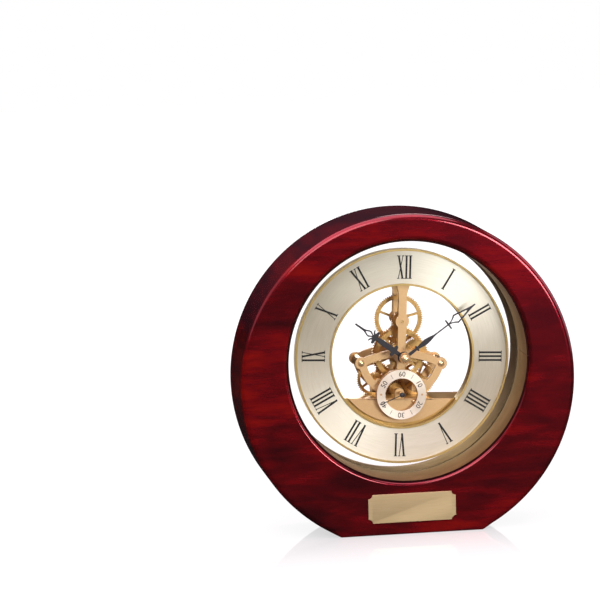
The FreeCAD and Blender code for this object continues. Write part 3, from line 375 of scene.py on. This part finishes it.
# Circular brushed metal: fine rings around a centre, drawn coarser than real ones so that they show.
# Part matt plate, part brushed gloss whose light spreads across the rings into two opposite lobes.
brushed = {"alongRing": 5.0, "levels": (0.3, 0.7), "spread": 0.05, "metallic": 0.25,
           "glossTint": "#F6F2EA", "glossAnisotropy": -0.4}


# Ring number = distance from the centre / ring width; the way is the unit vector from the centre
def makeBrushedRing(name, dark, light, centre, ringWidth, roughness, sheen, anisotropy, relief):
    material, tree, shader = newMaterial(name)
    place = addNode(tree, "ShaderNodeTexCoord").outputs["Object"]
    arm = addNode(tree, "ShaderNodeVectorMath", {0: place, 1: tuple(centre)}, operation="SUBTRACT")
    flat = addNode(tree, "ShaderNodeVectorMath", {0: arm, 1: (1, 0, 1)}, operation="MULTIPLY")
    radius = addNode(tree, "ShaderNodeVectorMath", {0: flat}, operation="LENGTH").outputs["Value"]
    way = addNode(tree, "ShaderNodeVectorMath", {0: flat}, operation="NORMALIZE").outputs[0]
    ring = addNode(tree, "ShaderNodeMath", {0: radius, 1: 1 / (ringWidth * mm)}, operation="MULTIPLY")
    slow = addNode(tree, "ShaderNodeVectorMath", {0: way, "Scale": brushed["alongRing"]},
                   operation="SCALE")
    spot = addNode(tree, "ShaderNodeTexNoise", {
        "Vector": slow, "W": ring, "Scale": 1.0, "Detail": 2.0, "Roughness": 0.6},
        noise_dimensions="4D")
    look = grained(tree, spot, brushed["levels"], (dark, light), roughness, brushed["spread"], relief)
    setInputs(tree, shader, {**look, "Metallic": brushed["metallic"], "Anisotropic": anisotropy,
                             "Tangent": way})
    gloss = addNode(tree, "ShaderNodeBsdfAnisotropic", {
        "Color": colour(brushed["glossTint"]), "Roughness": look["Roughness"],
        "Anisotropy": brushed["glossAnisotropy"], "Tangent": way, "Normal": look["Normal"]})
    mixed = addNode(tree, "ShaderNodeMixShader", {0: sheen, 1: shader, 2: gloss})
    setInputs(tree, tree.nodes["surface"], {"Surface": mixed})
    return material


# Brown anodised lining bands: rough metal that blurs what it mirrors. The stops run from the front
# mouth, 0, to the back, 1: a dark lip of painted shade where the wood rounds over it, then brown, paler
# with depth.
lining = {
    # The dark first stops are painted shade under the wood's rounding, not the lining's own colour
    "stops": ((0.0, "#2A1012"), (0.006, "#2A1012"), (0.012, "#8E7154"), (0.4, "#9C8468"),
              (0.9, "#AC9C82")),
    "haze": (18 * mm, 9 * mm, 18 * mm), "brush": (0.4 * mm, 3 * mm, 0.4 * mm),
    "metallic": 0.8, "roughness": (0.42, 0.52), "glossTint": "#A8967C", "gloss": 0.2,
}


def makeLining(values):
    material, tree, shader = newMaterial("brownAnodisedLining")
    place = patternSpace(tree, (mm,) * 3)
    depth = addNode(tree, "ShaderNodeSeparateXYZ", {0: place}).outputs["Y"]
    haze = figureIn(tree, values["haze"], 2.0)
    brush = figureIn(tree, values["brush"], 3.0, 0.6)
    front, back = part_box("front_liner")[0].y / mm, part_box("rear_liner")[1].y / mm
    far = addNode(tree, "ShaderNodeMapRange", {"Value": depth, "From Min": front, "From Max": back,
                                               "To Min": 0.0, "To Max": 1.0})
    tint = addNode(tree, "ShaderNodeValToRGB", {"Fac": far}, values["stops"])
    rough = addNode(tree, "ShaderNodeMapRange", {
        "Value": brush, "From Min": 0.3, "From Max": 0.7,
        "To Min": values["roughness"][0], "To Max": values["roughness"][1]})
    relief = addNode(tree, "ShaderNodeBump", {"Height": brush, "Distance": 0.002 * mm})
    setInputs(tree, shader, {
        "Base Color": shaded(tree, tint, haze, (0.3, 0.7), (0.85, 1.15)),
        "Metallic": values["metallic"], "Specular Tint": colour(values["glossTint"]),
        "Specular IOR Level": values["gloss"], "Roughness": rough, "Normal": relief})
    return material


# Clear acrylic, cast and polished: colourless with a faint ripple; light passes straight on for shadows
def makePane(ripple):
    material, tree, shader = newMaterial("clearAcrylic")
    wave = figureIn(tree, (ripple,) * 3, 1.0)
    relief = addNode(tree, "ShaderNodeBump", {"Height": wave, "Distance": 0.004 * mm})
    setInputs(tree, shader, {"Base Color": colour("#FFFFFF"), "Roughness": 0.0, "IOR": 1.49,
                             "Transmission Weight": 1.0, "Normal": relief})
    clear = addNode(tree, "ShaderNodeBsdfTransparent", {"Color": colour("#FFFFFF")})
    rays = addNode(tree, "ShaderNodeLightPath").outputs
    hidden = addNode(tree, "ShaderNodeMath", {0: rays["Is Shadow Ray"], 1: rays["Is Diffuse Ray"]},
                     operation="MAXIMUM")
    mixed = addNode(tree, "ShaderNodeMixShader", {0: hidden, 1: shader, 2: clear})
    setInputs(tree, tree.nodes["surface"], {"Surface": mixed})
    return material


# Moulded, printed or coated pieces: a colour that varies a little and a fine texture, in millimetres
def makeCoated(name, dark, light, roughness, grit, relief, metallic=0.0, coat=0.0):
    material, tree, shader = newMaterial(name)
    spot = figureIn(tree, (grit * mm,) * 3, 2.0, 0.5)
    look = grained(tree, spot, (0.2, 0.8), (dark, light), roughness, 0.04, relief)
    setInputs(tree, shader, {**look, "Metallic": metallic, "Coat Weight": coat})
    return material


# Printed sleeve of the battery cell: glossy black, with a copper-coloured band past bandStart
# millimetres from the middle
def makeCellSleeve(bandStart):
    material, tree, shader = newMaterial("printedCellSleeve")
    place = patternSpace(tree, (mm,) * 3, middle("battery_cell"), (0, -insertTurn, 0))
    along = addNode(tree, "ShaderNodeSeparateXYZ", {0: place}).outputs["X"]
    band = addNode(tree, "ShaderNodeMath", {0: along, 1: bandStart}, operation="GREATER_THAN")
    tint = addNode(tree, "ShaderNodeMix", {
        "Factor": band, 6: colour("#1B1B1D"), 7: colour("#B0703A")}, data_type="RGBA")
    spot = figureIn(tree, (0.8 * mm,) * 3, 2.0)
    rough = addNode(tree, "ShaderNodeMapRange", {"Value": spot, "To Min": 0.22, "To Max": 0.34})
    metallic = addNode(tree, "ShaderNodeMapRange", {"Value": band, "To Min": 0.1, "To Max": 0.8})
    setInputs(tree, shader, {"Base Color": tint.outputs[2], "Roughness": rough, "Metallic": metallic})
    return material


finishes = {
    "rosewood": makeRosewood(rosewood),
    "felt": makeFelt(0.5 * mm),
    "lining": makeLining(lining),
    "pane": makePane(25 * mm),
    "cell": makeCellSleeve(10.0),
    # Brass, rolled with level lines and plated: a soft satin sheet
    "satinPlate": makeMetal("satinGoldPlate", "#B8A174", "#C9B58A", 0.45, (9, 0.25, 0.25), 0.6, 0.001),
    # Turned and plated rims: even, with a clearer mirror than the plates
    "polishedGold": makeMetal("polishedGoldPlate", "#C8AA6A", "#D1B474", 0.34, (3, 3, 3), 0.75,
                              0.0005, 0.02),
    # Dial ring, brushed round its centre: pale champagne with two bright lobes
    "dial": makeBrushedRing("brushedChampagneDial", "#C4BA93", "#D9D1B2", dialCentre, 0.35, 0.42, 0.42,
                            0.8, 0.002),
    # Small seconds ring, brushed round its own centre: nearly white
    "secondsRing": makeBrushedRing("brushedSilverSecondsRing", "#E6D6B8", "#F4E8D2", secondsCentre,
                                   0.25, 0.45, 0.3, 0.6, 0.002),
    # Pad-printed ink: flat black
    "print": makeCoated("blackPadPrint", "#0C0B08", "#17150F", 0.6, 0.3, 0.004),
    # Brass plates, blanked and satin plated: warm gold with a faint fleck and a wide soft gloss
    "plateGold": makeMetal("satinGoldBrassPlate", "#CEA874", "#DEBA88", 0.42, (0.5, 0.5, 0.5), 0.6,
                           0.001, 0.03),
    # Brass wheels, cut and plated: deeper gold that flashes on the teeth
    "wheelGold": makeMetal("satinGoldBrassWheel", "#D8A45C", "#EFC680", 0.31, (1.6, 1.6, 1.6), 0.85,
                           0.0005),
    # Steel arbors and pillars, turned and plated: drawn along their length
    "arbor": makeMetal("goldPlatedSteelArbor", "#DDB070", "#F0CC90", 0.28, (0.4, 4, 0.4), 0.75, 0.001),
    # Screws and nuts, turned, polished and plated: the brightest gold
    "screwGold": makeMetal("goldPlatedScrew", "#EDC688", "#F8DFAC", 0.26, (2, 2, 2), 0.75, 0.0005,
                           0.03),
    # ABS, moulded and metallised: smooth gold without grain
    "goldPlastic": makeCoated("goldPlatedPlastic", "#CDA660", "#DAB674", 0.30, 9.0, 0.0, 0.65),
    # Spring steel, nickel plated: grey and bright
    "contact": makeMetal("nickelPlatedContact", "#A9A69C", "#D2CFC6", 0.25, (0.6, 0.6, 0.6)),
    # Glass-fibre board under solder lacquer: dark green with a thin gloss
    "board": makeCoated("greenCircuitLacquer", "#0E3A20", "#17522D", 0.35, 0.4, 0.01, 0.0, 0.4),
    # Steel hands, stamped and blackened: nearly black with a dull metal gloss
    "hand": makeCoated("blackOxideHand", "#2B2B2D", "#3D3D40", 0.36, 0.4, 0.003, 0.4),
    # Enamelled wire, wound: copper with ridges across the coil
    "copper": makeMetal("enamelledCopperWire", "#A4502C", "#D07A45", 0.3, (0.12, 4, 4), 0.9, 0.02),
    # Laminated iron sheet: grey, with the edges of the sheets as lines
    "iron": makeMetal("laminatedMotorIron", "#5E5C58", "#807D77", 0.4, (2, 0.2, 2)),
    # Acetal, moulded: matt amber
    "plastic": makeCoated("amberAcetal", "#9A6A33", "#B27E40", 0.4, 0.5, 0.01),
}

finishOf = {
    "rosewood": ["case_body"], "felt": ["base_pad"], "satinPlate": ["front_plaque"],
    "lining": ["front_liner", "rear_liner"], "pane": ["clear_window"],
    "polishedGold": ["insert_shell", "rear_ring"], "dial": ["dial_ring"],
    "print": ["hour_numerals", "seconds_marks"],
    "plateGold": ["front_plate", "back_plate", "battery_box_front", "seconds_bridge",
                  "seconds_ring_pins", "top_bush"],
    "wheelGold": ["centre_wheel", "idler_wheel", "idler_pinion", "top_wheel", "top_pinion",
                  "left_wheel", "left_pinion", "right_wheel", "seconds_pinion", "cannon_pinion",
                  "minute_wheel", "hour_wheel", "hour_pipe"],
    "arbor": ["minute_arbor", "top_arbor", "left_arbor", "right_arbor", "seconds_arbor",
              "minute_wheel_stud", "left_pillar", "right_pillar", "top_pillar"],
    "screwGold": ["rear_ring_screws", "front_plate_screws", "back_plate_screws",
                  "battery_box_screws", "hub_nut", "setting_knob"],
    "secondsRing": ["seconds_ring"], "goldPlastic": ["battery_box", "battery_cover"],
    "cell": ["battery_cell"], "contact": ["battery_contacts", "battery_spring"],
    "board": ["circuit_board"], "hand": ["minute_hand", "hour_hand", "second_hand"],
    "copper": ["coil_winding"], "iron": ["motor_stator", "motor_rotor"],
    "plastic": ["motor_cover", "coil_bobbin"],
}
for finish, members in finishOf.items():
    for member in members:
        nodes[member].data.materials.clear()
        nodes[member].data.materials.append(finishes[finish])
unfinished = set(nodes) - {member for members in finishOf.values() for member in members}
print("finishes given, nodes left:", sorted(unfinished))


def bodyOf(node):
    return body_of(nodes[node])[0]


# Edges sharper than the angle, in degrees, stay sharp; the rest is shaded smooth
def smoothSurface(mesh, sharpAngle):
    mesh.shade_smooth()
    mesh.set_sharp_from_angle(angle=math.radians(sharpAngle))


def addPiece(name, points, faces, finish, body):
    mesh = bpy.data.meshes.new(name)
    mesh.from_pydata(points.tolist(), [], faces)
    smoothSurface(mesh, 40)
    mesh.materials.append(finishes[finish])
    piece = bpy.data.objects.new(name, mesh)
    bpy.context.scene.collection.objects.link(piece)
    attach(piece, body)
    return piece


# Quads of a grid that closes on itself both ways
def gridFaces(rows, columns):
    row, column = np.meshgrid(np.arange(rows), np.arange(columns), indexing="ij")
    nextRow, nextColumn = (row + 1) % rows, (column + 1) % columns
    corners = (row * columns + column, row * columns + nextColumn,
               nextRow * columns + nextColumn, nextRow * columns + column)
    return np.stack(corners, axis=-1).reshape(-1, 4).tolist()


# Wooden block: every ring of points is an outline, either round with a flat base or the round bore.
# Outline point: centre + (radius - inset) * direction, cut level at the base; a quarter circle in
# depth and inset makes each rounding, which shrinks softly towards the corners of the base.
block = {
    "rounding": 3.0 * mm, "baseRounding": 1.0 * mm, "boreRounding": 2.0 * mm, "support": 0.5 * mm,
    "cornerLength": 7 * mm, "baseLift": 0.02 * mm, "boreGap": 0.05 * mm,
    "arcPoints": 720, "basePoints": 120, "steps": 10,
}


def makeBlock(values):
    low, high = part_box("case_body")
    radius = (high.x - low.x) / 2
    centreHeight = high.z - radius
    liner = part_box("front_liner")
    bore = (liner[1].z - liner[0].z) / 2 + values["boreGap"]
    boreHeight = dialCentre.z
    baseAngle = math.asin(centreHeight / radius)
    arc = np.linspace(-baseAngle, math.pi + baseAngle, values["arcPoints"])
    toCorner = radius * np.minimum(arc + baseAngle, math.pi + baseAngle - arc)
    soft = np.clip(toCorner / values["cornerLength"], 0, 1)
    soft = soft * soft * (3 - 2 * soft)
    rounding = values["baseRounding"] + (values["rounding"] - values["baseRounding"]) * soft
    share = np.linspace(0, 1, values["basePoints"] + 2)[1:-1]
    total = values["arcPoints"] + values["basePoints"]
    edge = np.concatenate([rounding, np.full(values["basePoints"], values["baseRounding"])])

    # Arc of the reduced radius from corner to corner, then the base line back
    def outline(inset):
        arcInset, baseInset = inset[:values["arcPoints"]], inset[values["arcPoints"]:]
        level = values["baseLift"] + baseInset[0]
        reduced = radius - arcInset
        cornerRadius = radius - arcInset[0]
        start = -math.asin((centreHeight - level) / cornerRadius)
        angle = start + (math.pi - 2 * start) * (arc + baseAngle) / (math.pi + 2 * baseAngle)
        x = reduced * np.cos(angle)
        z = centreHeight + reduced * np.sin(angle)
        baseX = x[-1] + (x[0] - x[-1]) * share
        return np.concatenate([x, baseX]), np.concatenate([z, np.full(len(share), level)])

    # Each point of the bore lies on the line from the bore's centre to its outline point
    outlineX, outlineZ = outline(np.zeros(total))
    ringAngle = np.arctan2(outlineZ - boreHeight, outlineX)

    def ring(reach):
        return reach * np.cos(ringAngle), boreHeight + reach * np.sin(ringAngle)

    turn = np.linspace(0, math.pi / 2, values["steps"] + 1)
    mouth, support = values["boreRounding"], values["support"]
    rows = []
    # Front: out of the bore, over the face, round to the band; then the back the other way
    for face, sign in ((low.y, 1), (high.y, -1)):
        side = []
        for t in turn:
            side.append((ring(bore + mouth * (1 - math.cos(t))), face + sign * mouth * (1 - math.sin(t))))
        side.append((ring(bore + mouth + support), face))
        side.append((outline(edge + support), face))
        for t in turn[::-1]:
            side.append((outline(edge * (1 - math.cos(t))), face + sign * edge * (1 - math.sin(t))))
        side.append((outline(np.zeros(total)), face + sign * (edge + support)))
        for (x, z), depth in (side if sign > 0 else side[::-1]):
            rows.append(np.stack([x, np.broadcast_to(depth, x.shape), z], axis=-1))
    points = np.concatenate(rows)
    piece = addPiece("wooden_block", points, gridFaces(len(rows), total), "rosewood", bodyOf("case_body"))
    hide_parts("case_body")


makeBlock(block)
print("wooden block made")

# Edges that catch the light: bevel width in millimetres for each flat metal piece, angles in degrees
edges = {
    "widths": {"front_plaque": 0.30, "front_plate": 0.14, "battery_box_front": 0.14,
               "minute_hand": 0.10, "hour_hand": 0.10},
    "segments": 2, "bevelAngle": 40, "sharpAngle": 30, "mergeReach": 0.002 * mm,
}


def breakEdges(node, width, values):
    source = nodes[node]
    build = bmesh.new()
    build.from_mesh(source.data)
    build.transform(source.matrix_world)
    bmesh.ops.remove_doubles(build, verts=build.verts, dist=values["mergeReach"])
    mesh = bpy.data.meshes.new(node + "_dressed")
    build.to_mesh(mesh)
    build.free()
    smoothSurface(mesh, values["sharpAngle"])
    mesh.materials.append(source.data.materials[0])
    piece = bpy.data.objects.new(node + "_dressed", mesh)
    bpy.context.scene.collection.objects.link(piece)
    bevel = piece.modifiers.new("brokenEdge", "BEVEL")
    bevel.width = width * mm
    bevel.segments = values["segments"]
    bevel.limit_method = "ANGLE"
    bevel.angle_limit = math.radians(values["bevelAngle"])
    bevel.harden_normals = True
    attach(piece, bodyOf(node))
    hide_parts(node)


for edgeNode, edgeWidth in edges["widths"].items():
    breakEdges(edgeNode, edgeWidth, edges)
print("edges broken:", len(edges["widths"]))

# Digits on the seconds ring, tops outwards, in the middle between its inner and outer radius
digits = {"texts": ("60", "10", "20", "30", "40", "50"), "height": 2.8 * mm, "stand": 0.05 * mm,
          "ringRadii": (9.3, 14.2)}


# Outline of the text as points with the middle at zero and height 1, and its faces
def digitMesh(text):
    curve = bpy.data.curves.new("digits", "FONT")
    curve.body = text
    curve.extrude = 0.01
    holder = bpy.data.objects.new("digits", curve)
    bpy.context.scene.collection.objects.link(holder)
    bpy.context.view_layer.update()
    mesh = bpy.data.meshes.new_from_object(holder.evaluated_get(bpy.context.evaluated_depsgraph_get()))
    points = np.empty(len(mesh.vertices) * 3)
    mesh.vertices.foreach_get("co", points)
    points = points.reshape(-1, 3)
    corners, starts = np.empty(len(mesh.loops), int), np.empty(len(mesh.polygons), int)
    mesh.loops.foreach_get("vertex_index", corners)
    mesh.polygons.foreach_get("loop_start", starts)
    bpy.data.objects.remove(holder)
    low, high = points.min(axis=0), points.max(axis=0)
    return (points - (low + high) / 2) / (high[1] - low[1]), np.split(corners, starts[1:])


# Each text stands at its angle round the ring: centre + across * side + up * outwards
def makeDigits(values):
    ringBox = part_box("seconds_ring")
    inner, outer = values["ringRadii"]
    reach = (ringBox[1].z - ringBox[0].z) / 2 * (outer + inner) / (2 * outer)
    allPoints, allFaces, count = [], [], 0
    for index, text in enumerate(values["texts"]):
        points, faces = digitMesh(text)
        angle = insertTurn + index * math.tau / len(values["texts"])
        across = points[:, 0] * values["height"]
        up = points[:, 1] * values["height"] + reach
        depth = secondsFront - values["stand"] / 2 - np.sign(points[:, 2]) * values["stand"] / 2
        x = secondsCentre.x + across * math.cos(angle) + up * math.sin(angle)
        z = secondsCentre.z - across * math.sin(angle) + up * math.cos(angle)
        allPoints.append(np.stack([x, depth, z], axis=-1))
        allFaces += [(face + count).tolist() for face in faces]
        count += len(points)
    addPiece("seconds_digits", np.concatenate(allPoints), allFaces, "print", bodyOf("seconds_ring"))


makeDigits(digits)
print("digits made")

# Black cap over the seconds arbor: depth = height * (1 - (radius / rim)^2), closed by a flat back
cap = {"rim": 1.05 * mm, "height": 0.3 * mm, "sunk": 0.05 * mm, "sides": 48, "rings": 6}


def makeCap(values):
    sides, rings = values["sides"], values["rings"]
    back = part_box("second_hand")[0].y + values["sunk"]
    angle = np.arange(sides) * math.tau / sides
    radius = values["rim"] * (1 - np.arange(rings) / rings)
    x = secondsCentre.x + np.outer(radius, np.cos(angle))
    z = secondsCentre.z + np.outer(radius, np.sin(angle))
    depth = back - values["height"] * (1 - (radius / values["rim"]) ** 2)
    points = np.stack([x, np.broadcast_to(depth[:, None], x.shape), z], axis=-1).reshape(-1, 3)
    poles = [[secondsCentre.x, back - values["height"], secondsCentre.z],
             [secondsCentre.x, back, secondsCentre.z]]
    # Quads between the rings, then a fan to the pole in front and one to the pole behind
    ring, side = np.meshgrid(np.arange(rings - 1), np.arange(sides), indexing="ij")
    start, after = ring * sides + side, ring * sides + (side + 1) % sides
    faces = np.stack([start, after, after + sides, start + sides], axis=-1).reshape(-1, 4).tolist()
    around, beyond = np.arange(sides), (np.arange(sides) + 1) % sides
    last, frontPole = (rings - 1) * sides, rings * sides
    faces += np.stack([last + around, last + beyond, np.full(sides, frontPole)], axis=-1).tolist()
    faces += np.stack([beyond, around, np.full(sides, frontPole + 1)], axis=-1).tolist()
    addPiece("second_hand_cap", np.concatenate([points, poles]), faces, "hand", bodyOf("second_hand"))


makeCap(cap)
print("cap made")

print("scene ready")
